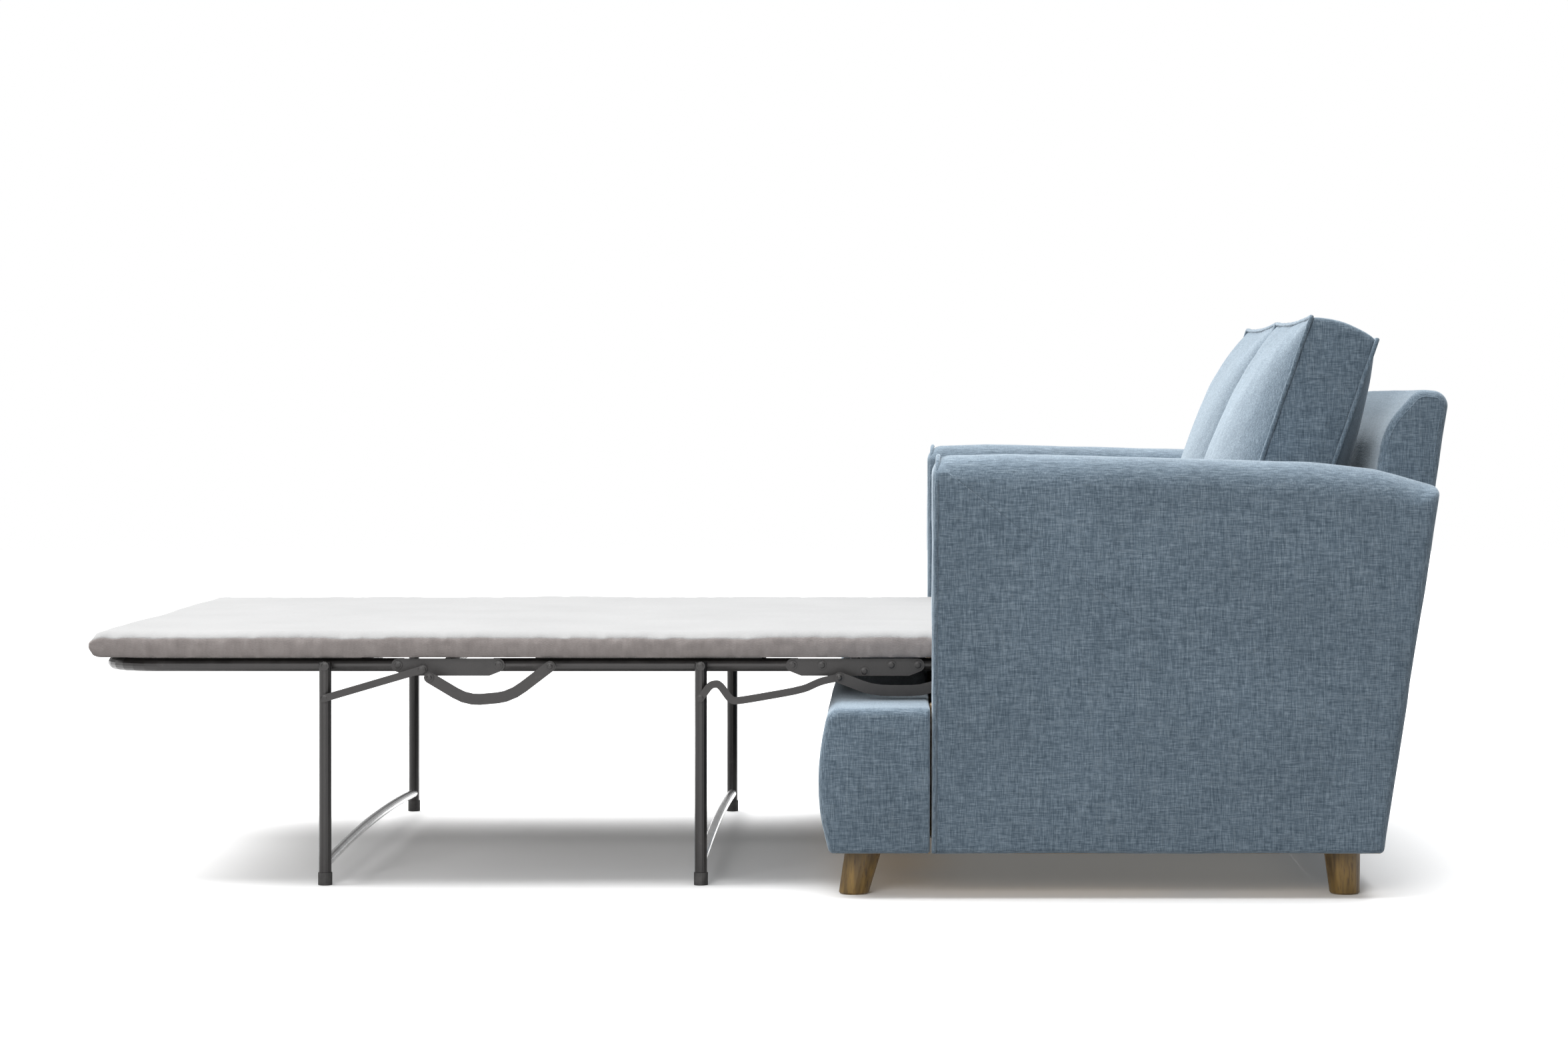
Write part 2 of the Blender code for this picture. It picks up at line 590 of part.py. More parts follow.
def main():
    make_arms()
    make_border()
    make_backrest()
    make_base()
    make_wood_legs()
    make_cushions()
    make_section("head", Y_B2, Y_HEAD_END, HEAD_GAP, 0.0, head_end=True)
    make_section("mid", Y_B1, Y_A2, FOOT_GAP, HEAD_GAP)
    make_foot_section()
    foot_bolts = [(Y_A1, Z_RAIL), (Y_A1 + 0.041, Z_RAIL - 0.006), (Y_B1, Z_RAIL)]
    head_bolts = [(Y_A2, Z_RAIL), (Y_A2 + 0.048, Z_RAIL), (Y_A2 + 0.117, Z_RAIL - 0.010),
                  (Y_B2 - 0.043, Z_RAIL), (Y_B2, Z_RAIL)]
    make_hinge("foot_hinge", Y_A1, Y_B1, foot_bolts)
    make_hinge("head_hinge", Y_A2, Y_B2, head_bolts)
    make_u_leg("leg_1", Y_LEG_1)
    make_u_leg("leg_2", Y_LEG_2)
    make_brackets()
    make_links()


main()
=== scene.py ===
"""Looks of the sofa bed: woven upholstery, stuffed cushions, a thin wrinkled mattress and the steel frame.

Metres, +Z up.  The open bed reaches towards -Y and the sofa's back is towards +Y.
"""
import json
import math

import bmesh
import bpy
from mathutils import Matrix, Vector, noise


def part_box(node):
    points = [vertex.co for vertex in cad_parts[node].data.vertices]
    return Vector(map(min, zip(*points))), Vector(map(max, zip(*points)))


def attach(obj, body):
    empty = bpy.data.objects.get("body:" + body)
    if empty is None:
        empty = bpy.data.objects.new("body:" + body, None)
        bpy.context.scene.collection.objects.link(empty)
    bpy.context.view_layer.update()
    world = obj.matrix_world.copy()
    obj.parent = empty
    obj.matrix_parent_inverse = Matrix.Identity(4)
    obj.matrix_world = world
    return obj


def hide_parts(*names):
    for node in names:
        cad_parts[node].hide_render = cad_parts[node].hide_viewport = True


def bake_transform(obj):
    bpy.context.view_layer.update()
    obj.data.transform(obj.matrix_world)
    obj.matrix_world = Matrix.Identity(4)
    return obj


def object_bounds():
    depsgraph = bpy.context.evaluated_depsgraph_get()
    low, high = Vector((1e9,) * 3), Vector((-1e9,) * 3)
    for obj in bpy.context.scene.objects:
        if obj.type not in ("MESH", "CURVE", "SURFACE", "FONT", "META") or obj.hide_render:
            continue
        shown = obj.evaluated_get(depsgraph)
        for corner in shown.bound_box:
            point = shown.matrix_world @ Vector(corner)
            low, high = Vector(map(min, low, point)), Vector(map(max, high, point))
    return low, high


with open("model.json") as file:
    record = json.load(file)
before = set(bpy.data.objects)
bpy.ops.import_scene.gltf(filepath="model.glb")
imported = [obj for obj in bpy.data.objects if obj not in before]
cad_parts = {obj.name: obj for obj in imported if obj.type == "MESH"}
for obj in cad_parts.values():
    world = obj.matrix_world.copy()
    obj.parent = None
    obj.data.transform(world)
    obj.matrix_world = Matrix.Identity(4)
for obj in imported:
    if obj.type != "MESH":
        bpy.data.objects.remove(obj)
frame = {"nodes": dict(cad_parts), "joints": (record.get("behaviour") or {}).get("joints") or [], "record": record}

CAD_BOX = [list(map(float, corner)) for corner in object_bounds()]
SCENE = bpy.context.scene
NODES = frame["nodes"]

# ---------------------------------------------------------------- places, all from the CAD frame
JOINT = {joint["name"]: joint["pos_m"] for joint in frame["joints"]}
Y_A1, Y_B1 = JOINT["tip_fold"][1], JOINT["foot_fold"][1]
Y_A2, Y_B2 = JOINT["mid_fold"][1], JOINT["bed_fold"][1]
Z_RAIL = JOINT["bed_fold"][2]
FOOT_PAD_LOW, FOOT_PAD_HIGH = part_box("foot_mattress")
MID_PAD_LOW, MID_PAD_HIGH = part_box("mid_mattress")
HEAD_PAD_LOW, HEAD_PAD_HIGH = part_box("head_mattress")
ARM_LOW, ARM_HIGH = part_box("arm_right")
BACK_LOW, BACK_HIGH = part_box("backrest")
BORDER_LOW, BORDER_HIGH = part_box("front_border")
CUSHION_LOW, CUSHION_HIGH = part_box("back_cushion_right")
BODY_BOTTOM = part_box("front_base_board")[0].z + 0.0005   # the covers wrap down over the base boards

# ---------------------------------------------------------------- sizes of the soft work
PIPING_R = 0.0036
REAR_SLANT = 0.155              # run of the sofa's rear per unit of rise
ARM_TOP_R = 0.052
ARM_REAR_HEIGHT = 0.645         # where the arm's top meets its slanted rear
ARM_ROLLS = (ARM_TOP_R, 0.014, 0.016, 0.008)       # at the top, front, rear and bottom edges
BORDER_ROLLS = (0.016, 0.014, 0.004, 0.008)
BACK_ROLLS = (0.016, 0.012, 0.012, 0.006)
ARM_CROWN = 0.003               # how far a padded end face stands out in its middle
BORDER_CROWN = 0.003
BACK_CROWN = 0.002
BORDER_BULGE = 0.017
BACK_THICKNESS = 0.095
BACK_SHOULDER = 0.110           # height over which the backrest thins towards its top
SEAM_R = 0.0014
SEAM_INSET = 0.011
CUSHION_LEAN = math.radians(19.0)
CUSHION_HEIGHT = 0.484
CUSHION_EDGE = 0.112
FRONT_CROWN = 0.046
REAR_CROWN = 0.034
BAND_CROWN = 0.013              # how far the band between the seams stands out
SWELL = 0.028                   # most that a cushion point may move as it fills
SWELL_OVER = 0.006              # room past that, which a stronger push only approaches
FILL_FRAMES = 20
CUSHION_REST = 0.004            # cushions and their piping above the mattress
CUSHION_SLIM = 0.006            # cushion narrower than its solid
CUSHION_FOOT_FROM_REAR = 0.383  # front bottom edge of a cushion, ahead of the sofa's rear
CUSHION_RISE = 0.490            # length of its front face, bottom to top
MATTRESS_STEP = 0.0065
MATTRESS_NOSE = 0.020           # length over which the two ends of the mattress round off
BLEND_INNER = 0.020             # how far a bend reaches past its pivot on the hinge's side
BOLT_STEP = (0.041, 0.006)      # brace bolt on the foot hinge plate: past the pivot and below it
LINK_1_END = (0.055, 0.018)
LINK_2_END = (0.077, 0.018)
RIVET_R = 0.0046
RIVET_HIGH = 0.0022
RIVET_LOW = 0.0005              # rivets that a folding leg or brace passes over
FLOOR_HALF = 14.0
ROOM_LIGHT = 0.35               # the white room as a light
ROOM_SEEN = 1.0                 # the white room as the camera sees it
SUN_POWER = 6.5
SUN_SPREAD = 70                 # degrees
SUN_WAY = (0.34, 0.16, -1.0)
SIDE_FILL_POWER = 105
FOOT_END_POWER = 52
LENS = 93.0
LENS_SHIFT = (-0.078, -0.0778)
CAMERA_AWAY = 6.38              # from the arm's outer face
CAMERA_Y = 0.2225
CAMERA_HEIGHT = 0.785
LEAN_UP = Vector((0, math.sin(CUSHION_LEAN), math.cos(CUSHION_LEAN)))


# ---------------------------------------------------------------- mesh helpers
def new_object(name, bm, smooth=True):
    """Turn the bmesh into an object with its normals outward."""
    bmesh.ops.recalc_face_normals(bm, faces=bm.faces)
    mesh = bpy.data.meshes.new(name)
    bm.to_mesh(mesh)
    bm.free()
    obj = bpy.data.objects.new(name, mesh)
    SCENE.collection.objects.link(obj)
    if smooth:
        mesh.shade_smooth()
    return obj


def dress(obj, mat, body, slot, *replaced):
    """Give the piece its material and its body, and hide the CAD nodes that it stands for. The slot is not used.
    """
    obj.data.materials.clear()
    obj.data.materials.append(mat)
    if body:
        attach(obj, body)
    if replaced:
        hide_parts(*replaced)
    return obj


def rounded(corners, step=0.012):
    """Closed outline through corners given as (a, b, radius), with true arcs, at an even spacing."""
    dense = []
    count = len(corners)
    for i, (a, b, r) in enumerate(corners):
        here = Vector((a, b))
        before = Vector(corners[i - 1][:2])
        after = Vector(corners[(i + 1) % count][:2])
        d0 = (before - here).normalized()
        d1 = (after - here).normalized()
        half = d0.angle(d1) / 2
        back_off = r / math.tan(half)
        centre = here + (d0 + d1).normalized() * (r / math.sin(half))
        start = here + d0 * back_off - centre
        turn = start.angle_signed(here + d1 * back_off - centre) if r > 0 else 0.0
        parts = max(1, int(abs(turn) * r / 0.003)) if r > 0 else 0
        if parts == 0:
            dense.append(here)
            continue
        for k in range(parts + 1):
            angle = -turn * k / parts
            c, s = math.cos(angle), math.sin(angle)
            dense.append(centre + Vector((start.x * c - start.y * s, start.x * s + start.y * c)))
    points = []
    for i, p in enumerate(dense):
        q = dense[(i + 1) % len(dense)]
        parts = max(1, round((q - p).length / step))
        for k in range(parts):
            points.append(p.lerp(q, k / parts))
    return points


def outward(outline):
    """Outward direction at each point of a closed outline, whichever way it runs."""
    count = len(outline)
    area = sum(p.cross(outline[(i + 1) % count]) for i, p in enumerate(outline))
    turn = 1 if area > 0 else -1
    result = []
    for i in range(count):
        along = (outline[(i + 1) % count] - outline[i - 1]).normalized()
        result.append(Vector((along.y, -along.x)) * turn)
    return result


def inner_outline(outline, normals, radii):
    """The outline moved in by its own radius at each point, with no fold at tight corners."""
    count = len(outline)
    moved = [p - out * r for p, out, r in zip(outline, normals, radii)]
    good = []
    for i, q in enumerate(moved):
        nearest = min((q - p).length for p in outline)
        good.append(nearest > 0.93 * radii[i])
    result = list(moved)
    start = good.index(True)
    k = 1
    while k < count:
        i = (start + k) % count
        if good[i]:
            k += 1
            continue
        run = 0
        while not good[(i + run) % count]:
            run += 1
        before, after = moved[i - 1], moved[(i + run) % count]
        for step in range(run):
            result[(i + step) % count] = before.lerp(after, (step + 1) / (run + 1))
        k += run
    return result


def roll_radii(normals, rolls):
    """How far each point of the outline rolls over, evened out along it."""
    top, front, rear, bottom = rolls
    radii = []
    for out in normals:
        level = rear if out.x > 0 else front
        upright = top if out.y > 0 else bottom
        share = abs(out.y) ** 1.5
        radii.append(level * (1 - share) + upright * share)
    for _ in range(3):
        radii = [(radii[i - 1] + r + radii[(i + 1) % len(radii)]) / 3 for i, r in enumerate(radii)]
    return radii


def upholstered(name, outline, x0, x1, rolls, crown, rough=0.0011, seed=0.0):
    """A padded block: an outline in the side plane carried across the width, with rolled edges.

    rolls gives how far the cover rolls over at its top, front, rear and bottom edges.
    """
    count = len(outline)
    normals = outward(outline)
    radii = roll_radii(normals, rolls)
    inside = inner_outline(outline, normals, radii)
    roll = 9
    bm = bmesh.new()

    def ring(side, turn):
        """One loop of the rolled edge; turn goes from the flat face, 0, to the full outline, 1."""
        verts = []
        angle = turn * math.pi / 2
        for p, inner, r in zip(outline, inside, radii):
            back = r * (1 - math.cos(angle))
            q = p.lerp(inner, 1 - math.sin(angle))
            verts.append(bm.verts.new((x0 + back if side < 0 else x1 - back, q.x, q.y)))
        return verts

    def cap(side, first):
        """The flat face, crowned a little, as loops that shrink to its middle."""
        loops = [first]
        flat = [Vector((v.co.y, v.co.z)) for v in first]
        centre = sum(flat, Vector((0, 0))) / count
        reach = Vector([max(abs(p[i] - centre[i]) for p in flat) for i in (0, 1)])
        xs = [v.co.x for v in first]
        parts = 14
        for k in range(1, parts):
            s = 1 - k / parts
            verts = []
            for x, p in zip(xs, flat):
                q = centre + (p - centre) * s
                u, v = (q.x - centre.x) / reach.x, (q.y - centre.y) / reach.y
                dome = crown * max(0.0, 1 - u * u) * max(0.0, 1 - v * v) * (1 - s ** 8)
                verts.append(bm.verts.new((x + side * dome, q.x, q.y)))
            loops.append(verts)
        tip = bm.verts.new((sum(xs) / count + side * crown, centre.x, centre.y))
        last = loops[-1]
        for i in range(count):
            bm.faces.new((last[i], last[(i + 1) % count], tip))
        return loops[::-1]

    left = [ring(-1, k / roll) for k in range(roll + 1)]
    right = [ring(1, k / roll) for k in range(roll, -1, -1)]
    rings = cap(-1, left[0])[:-1] + left
    span = x1 - x0
    steps = max(1, round(span / 0.02))
    for k in range(1, steps):
        verts = []
        for a, b in zip(left[-1], right[0]):
            verts.append(bm.verts.new(a.co.lerp(b.co, k / steps)))
        rings.append(verts)
    rings += right
    rings += cap(1, right[-1])[::-1][1:]
    for first, second in zip(rings, rings[1:]):
        for i in range(count):
            n = (i + 1) % count
            bm.faces.new((first[i], first[n], second[n], second[i]))
    bm.normal_update()
    for v in bm.verts:
        wave = noise.noise(v.co * 9.0 + Vector((seed, 0, 0))) + 0.5 * noise.noise(v.co * 24.0)
        v.co += v.normal * wave * rough
    return new_object(name, bm)


def piping(name, points, radius=PIPING_R, closed=False, sides=10):
    """A covered cord along a seam, with a slight twist of its cover."""
    pts = [Vector(p) for p in points]
    count = len(pts)
    bm = bmesh.new()
    rings = []
    side = None
    for i, p in enumerate(pts):
        if closed:
            along = (pts[(i + 1) % count] - pts[i - 1]).normalized()
        else:
            along = (pts[min(i + 1, count - 1)] - pts[max(i - 1, 0)]).normalized()
        if side is None:
            side = along.orthogonal().normalized()
        side = (side - along * side.dot(along)).normalized()
        up = along.cross(side)
        ring = []
        for k in range(sides):
            angle = 2 * math.pi * k / sides
            r = radius * (1 + 0.05 * math.sin(3 * angle + i * 0.9))
            ring.append(bm.verts.new(p + (side * math.cos(angle) + up * math.sin(angle)) * r))
        rings.append(ring)
    pairs = list(zip(rings, rings[1:]))
    if closed:
        first = rings[0]
        last = rings[-1]
        shift = min(range(sides), key=lambda k: (first[k].co - last[0].co).length)
        pairs.append((last, first[shift:] + first[:shift]))
    for a, b in pairs:
        for k in range(sides):
            n = (k + 1) % sides
            bm.faces.new((a[k], a[n], b[n], b[k]))
    if not closed:
        bm.faces.new(rings[0])
        bm.faces.new(rings[-1][::-1])
    return new_object(name, bm)


def smooth_path(points, step=0.006):
    """Evenly spaced points on a line of straight runs."""
    out = []
    for p, q in zip(points, points[1:]):
        p, q = Vector(p), Vector(q)
        parts = max(1, round((q - p).length / step))
        for k in range(parts):
            out.append(p.lerp(q, k / parts))
    out.append(Vector(points[-1]))
    return out


# ---------------------------------------------------------------- materials
class Nodes:
    """Short way to write a node tree."""

    def __init__(self, name):
        self.mat = bpy.data.materials.new(name)
        self.mat.use_nodes = True
        self.tree = self.mat.node_tree
        self.shader = self.tree.nodes["Principled BSDF"]
        self.coord = self.tree.nodes.new("ShaderNodeTexCoord").outputs["Object"]

    def link(self, a, b):
        self.tree.links.new(a, b)

    def value(self, socket, number):
        self.shader.inputs[socket].default_value = number

    def mapping(self, scale, turn=(0, 0, 0)):
        node = self.tree.nodes.new("ShaderNodeMapping")
        node.inputs["Scale"].default_value = scale
        node.inputs["Rotation"].default_value = turn
        self.link(self.coord, node.inputs["Vector"])
        return node.outputs["Vector"]

    def noise(self, vector, scale=1.0, detail=2.0, rough=0.5):
        node = self.tree.nodes.new("ShaderNodeTexNoise")
        node.inputs["Scale"].default_value = scale
        node.inputs["Detail"].default_value = detail
        node.inputs["Roughness"].default_value = rough
        self.link(vector, node.inputs["Vector"])
        return node.outputs["Fac"]

    def math(self, operation, a, b=None, clamp=False):
        node = self.tree.nodes.new("ShaderNodeMath")
        node.operation = operation
        node.use_clamp = clamp
        for socket, item in zip(node.inputs, (a, b)):
            if item is None:
                continue
            if isinstance(item, (int, float)):
                socket.default_value = item
            else:
                self.link(item, socket)
        return node.outputs[0]

    def ramp(self, factor, stops):
        node = self.tree.nodes.new("ShaderNodeValToRGB")
        ramp = node.color_ramp
        while len(ramp.elements) < len(stops):
            ramp.elements.new(0.5)
        for element, (place, colour) in zip(ramp.elements, stops):
            element.position = place
            element.color = (*colour, 1.0) if len(colour) == 3 else colour
        self.link(factor, node.inputs["Fac"])
        return node.outputs["Color"]

    def mix(self, factor, a, b, kind="MIX"):
        node = self.tree.nodes.new("ShaderNodeMix")
        node.data_type = "RGBA"
        node.blend_type = kind
        for socket, item in ((node.inputs["Factor"], factor), (node.inputs[6], a), (node.inputs[7], b)):
            if isinstance(item, (int, float)):
                socket.default_value = item
            elif isinstance(item, tuple):
                socket.default_value = (*item, 1.0)
            else:
                self.link(item, socket)
        return node.outputs[2]

    def bump(self, height, strength, distance):
        node = self.tree.nodes.new("ShaderNodeBump")
        node.inputs["Strength"].default_value = strength
        node.inputs["Distance"].default_value = distance
        self.link(height, node.inputs["Height"])
        self.link(node.outputs["Normal"], self.shader.inputs["Normal"])

    def facing(self):
        """How much the surface faces each axis, and its normal's three parts."""
        geometry = self.tree.nodes.new("ShaderNodeNewGeometry")
        split = self.tree.nodes.new("ShaderNodeSeparateXYZ")
        self.link(geometry.outputs["Normal"], split.inputs[0])
        return [self.math("ABSOLUTE", out) for out in split.outputs], split.outputs


def weave(n, fine, long, turn=(0, 0, 0), detail=1.5):
    """Threads that run along all three axes; the ones that would stand end-on fade out."""
    facing, _ = n.facing()
    total = None
    weight = None
    for axis in range(3):
        scale = [fine, fine, fine]
        scale[axis] = long
        threads = n.noise(n.mapping(tuple(scale), turn), 1.0, detail, 0.6)
        share = n.math("SUBTRACT", 1.0, facing[axis])
        part = n.math("MULTIPLY", threads, share)
        total = part if total is None else n.math("ADD", total, part)
        weight = share if weight is None else n.math("ADD", weight, share)
    return n.math("DIVIDE", total, n.math("MAXIMUM", weight, 0.2))


def upholstery(name, turn=(0, 0, 0)):
    """Blue-grey linen-look weave with pale and dark slubs."""
    n = Nodes(name)
    fine = weave(n, 560.0, 60.0, turn)
    slub = weave(n, 300.0, 14.0, turn, 1.0)
    cloud = n.noise(n.mapping((1, 1, 1)), 5.0, 3.0)
    base = n.ramp(fine, [(0.34, (0.058, 0.085, 0.112)), (0.47, (0.104, 0.143, 0.182)),
                         (0.55, (0.137, 0.183, 0.228)), (0.68, (0.222, 0.279, 0.331))])
    pale = n.ramp(slub, [(0.52, (0, 0, 0)), (0.66, (1, 1, 1))])
    deep = n.ramp(slub, [(0.36, (1, 1, 1)), (0.47, (0, 0, 0))])
    colour = n.mix(n.math("MULTIPLY", pale, 0.26), base, (0.255, 0.310, 0.353))
    colour = n.mix(n.math("MULTIPLY", deep, 0.30), colour, (0.055, 0.081, 0.107))
    shade = n.ramp(cloud, [(0.3, (0.90, 0.90, 0.90)), (0.7, (1.06, 1.06, 1.06))])
    n.link(n.mix(1.0, colour, shade, "MULTIPLY"), n.shader.inputs["Base Color"])
    n.value("Roughness", 0.92)
    n.value("Sheen Weight", 0.5)
    n.value("Sheen Roughness", 0.5)
    n.value("Sheen Tint", (0.80, 0.91, 1.0, 1.0))
    n.value("Specular IOR Level", 0.2)
    n.bump(n.math("ADD", fine, n.math("MULTIPLY", slub, 0.6)), 0.55, 0.0012)
    return n.mat


def mattress_cloth(name):
    """Off-white knitted top with a warmer grey border, darker than the top partly as painted shade on the sides
    and with painted shade in its creases.
    """
    n = Nodes(name)
    _, normal = n.facing()
    knit = n.noise(n.mapping((700, 260, 700)), 1.0, 1.0)
    cloud = n.noise(n.mapping((3, 3, 12)), 2.0, 3.0)
    crease_and_shade = n.noise(n.mapping((14, 60, 20)), 1.0, 3.0, 0.6)
    top = n.ramp(cloud, [(0.3, (0.285, 0.285, 0.286)), (0.7, (0.308, 0.308, 0.309))])
    # the border: a warmer cloth, made darker partly as painted side shade, and darker and lighter along the
    # creases as painted shade and light
    border = n.ramp(crease_and_shade, [(0.3, (0.248, 0.222, 0.214)), (0.7, (0.322, 0.290, 0.280))])
    # upward faces take the top colour, the sides take the border with its painted shade
    up = n.ramp(normal[2], [(0.42, (0, 0, 0)), (0.62, (1, 1, 1))])
    colour = n.mix(up, border, top)
    colour = n.mix(1.0, colour, n.ramp(knit, [(0.3, (0.93, 0.93, 0.93)), (0.7, (1.0, 1.0, 1.0))]), "MULTIPLY")
    n.link(colour, n.shader.inputs["Base Color"])
    n.value("Roughness", 0.88)
    n.value("Sheen Weight", 0.2)
    n.value("Specular IOR Level", 0.25)
    n.bump(n.math("ADD", knit, n.math("MULTIPLY", crease_and_shade, 1.2)), 0.35, 0.0016)
    return n.mat


def painted_steel(name):
    """Charcoal paint with a fine orange-peel and dull scuffs."""
    n = Nodes(name)
    peel = n.noise(n.mapping((420, 420, 420)), 1.0, 2.0)
    scuff = n.noise(n.mapping((22, 22, 22)), 1.0, 5.0, 0.65)
    colour = n.ramp(scuff, [(0.35, (0.014, 0.0125, 0.012)), (0.62, (0.022, 0.0195, 0.019)),
                            (0.80, (0.055, 0.050, 0.048))])
    n.link(colour, n.shader.inputs["Base Color"])
    n.link(n.ramp(scuff, [(0.3, (0.30, 0.30, 0.30)), (0.75, (0.52, 0.52, 0.52))]),
           n.shader.inputs["Roughness"])
    n.value("Metallic", 0.25)
    n.value("Coat Weight", 0.12)
    n.value("Coat Roughness", 0.3)
    n.bump(peel, 0.18, 0.0004)
    return n.mat


def bright_steel(name):
    """Polished bar with faint drawing lines along it."""
    n = Nodes(name)
    lines = n.noise(n.mapping((6, 900, 900)), 1.0, 2.0)
    spots = n.noise(n.mapping((30, 30, 30)), 1.0, 4.0)
    n.link(n.ramp(spots, [(0.3, (0.62, 0.62, 0.63)), (0.7, (0.80, 0.80, 0.80))]),
           n.shader.inputs["Base Color"])
    n.link(n.ramp(lines, [(0.3, (0.14, 0.14, 0.14)), (0.7, (0.26, 0.26, 0.26))]),
           n.shader.inputs["Roughness"])
    n.value("Metallic", 1.0)
    n.bump(lines, 0.08, 0.0003)
    return n.mat


def grained_wood(name, dark, light, stretch, coat=0.0):
    """Straight grain along the piece, with darker pores."""
    n = Nodes(name)
    rings = n.noise(n.mapping(stretch), 1.0, 4.0, 0.6)
    pores = n.noise(n.mapping(tuple(4 * s for s in stretch)), 1.0, 2.0, 0.6)
    middle = tuple((a + b) / 2 for a, b in zip(dark, light))
    colour = n.ramp(rings, [(0.32, dark), (0.50, middle), (0.66, light)])
    pore = n.ramp(pores, [(0.30, (0.55, 0.50, 0.45)), (0.42, (1, 1, 1))])
    n.link(n.mix(1.0, colour, pore, "MULTIPLY"), n.shader.inputs["Base Color"])
    n.link(n.ramp(rings, [(0.3, (0.55, 0.55, 0.55)), (0.7, (0.40, 0.40, 0.40))]),
           n.shader.inputs["Roughness"])
    n.value("Coat Weight", coat)
    n.value("Coat Roughness", 0.3)
    n.bump(n.math("ADD", rings, pores), 0.15, 0.0006)
    return n.mat


def moulded(name):
    """Dark moulded plastic with a fine grain and worn patches."""
    n = Nodes(name)
    grain = n.noise(n.mapping((900, 900, 900)), 1.0, 2.0)
    wear = n.noise(n.mapping((60, 60, 60)), 1.0, 4.0)
    n.link(n.ramp(wear, [(0.35, (0.018, 0.017, 0.017)), (0.75, (0.060, 0.057, 0.055))]),
           n.shader.inputs["Base Color"])
    n.value("Roughness", 0.62)
    n.bump(grain, 0.3, 0.0003)
    return n.mat


def deck_cloth(name):
    """Pale plain-woven sheet."""
    n = Nodes(name)
    threads = weave(n, 520.0, 40.0)
    cloud = n.noise(n.mapping((4, 4, 4)), 1.0, 3.0)
    base = n.ramp(threads, [(0.38, (0.34, 0.33, 0.31)), (0.60, (0.60, 0.59, 0.56))])
    shade = n.ramp(cloud, [(0.3, (0.9, 0.9, 0.9)), (0.7, (1.0, 1.0, 1.0))])
    n.link(n.mix(1.0, base, shade, "MULTIPLY"), n.shader.inputs["Base Color"])
    n.value("Roughness", 0.9)
    n.bump(threads, 0.4, 0.0008)
    return n.mat


FABRIC = upholstery("upholstery_weave")
FABRIC_LEANING = upholstery("upholstery_weave_leaning", (CUSHION_LEAN, 0, 0))
MATTRESS = mattress_cloth("mattress_cloth")
PAINT = painted_steel("frame_paint")
CHROME = bright_steel("bright_bar")
LEG_WOOD = grained_wood("leg_wood", (0.072, 0.040, 0.007), (0.215, 0.127, 0.026), (70, 70, 9), 0.1)
TIMBER = grained_wood("raw_timber", (0.33, 0.22, 0.12), (0.56, 0.42, 0.26), (90, 9, 90))
RIVET = painted_steel("rivet_heads")
PLASTIC = moulded("foot_plastic")
DECK = deck_cloth("deck_cloth")


# ---------------------------------------------------------------- sofa body
def make_arms():
    """Both arms. Corners are (y, z, radius), from the front's foot round the rear to the front's top."""
    low, high = ARM_LOW, ARM_HIGH
    rear_low = high.y - REAR_SLANT * (ARM_REAR_HEIGHT - BODY_BOTTOM)
    corners = [(low.y + 0.003, BODY_BOTTOM, 0.006),
               (rear_low, BODY_BOTTOM, 0.008),
               (high.y, ARM_REAR_HEIGHT + 0.003, 0.014),
               (high.y - 0.100, high.z - 0.024, 0.12),
               (high.y - 0.200, high.z - 0.013, 0.20),
               (low.y + 0.120, high.z, 0.15),
               (low.y + 0.004, high.z - 0.004, 0.030)]
    outline = rounded(corners)
    for side, word in ((1, "right"), (-1, "left")):
        x0, x1 = (low.x, high.x) if side > 0 else (-high.x, -low.x)
        arm = upholstered("arm_cover_" + word, outline, x0, x1, ARM_ROLLS, ARM_CROWN, seed=side * 3.0)
        dress(arm, FABRIC, "root", "upholstery", "arm_" + word)
        make_arm_piping(side, word)


def make_arm_piping(side, word):
    """The corded seam round the arm's front panel: up outside, over the top and down inside."""
    low, high = ARM_LOW, ARM_HIGH
    y = low.y + 0.010
    r = ARM_TOP_R
    out_x, in_x = high.x - 0.001, low.x + 0.001
    top = high.z - 0.004
    bow = 0.004
    parts = 8
    path = [(out_x, y - bow, BODY_BOTTOM + 0.001), (out_x, y - 0.003, low.z + 0.02), (out_x, y, top - r)]
    for k in range(1, parts + 1):
        a = math.radians(90 * k / parts)
        path.append((out_x - r + r * math.cos(a), y + bow * k / parts, top - r + r * math.sin(a)))
    for k in range(parts + 1):
        a = math.radians(90 + 90 * k / parts)
        path.append((in_x + r + r * math.cos(a), y + bow * (1 - k / parts), top - r + r * math.sin(a)))
    path.append((in_x, y, BORDER_HIGH.z + 0.002))
    points = [Vector((p.x * side, p.y, p.z)) for p in smooth_path(path)]
    for p in points:
        p.y += 0.0008 * noise.noise(p * 14.0)
    cord = piping("arm_piping_" + word, points)
    dress(cord, FABRIC, "root", "upholstery")


def make_border():
    """The low box in front, its front face bulging between its top and its foot."""
    low, high = BORDER_LOW, BORDER_HIGH
    steps = 10
    corners = [(high.y, BODY_BOTTOM, 0.003), (high.y, high.z, 0.006)]
    for k in range(steps, -1, -1):
        t = k / steps
        corner = 0.024 if k == steps else (0.008 if k == 0 else 0.0)
        y = low.y + BORDER_BULGE * (2 * t - 1) ** 2
        corners.append((y, BODY_BOTTOM + t * (high.z - BODY_BOTTOM), corner))
    outline = rounded(corners)
    border = upholstered("border_cover", outline, low.x, high.x, BORDER_ROLLS, BORDER_CROWN, seed=7.0)
    dress(border, FABRIC, "root", "upholstery", "front_border")


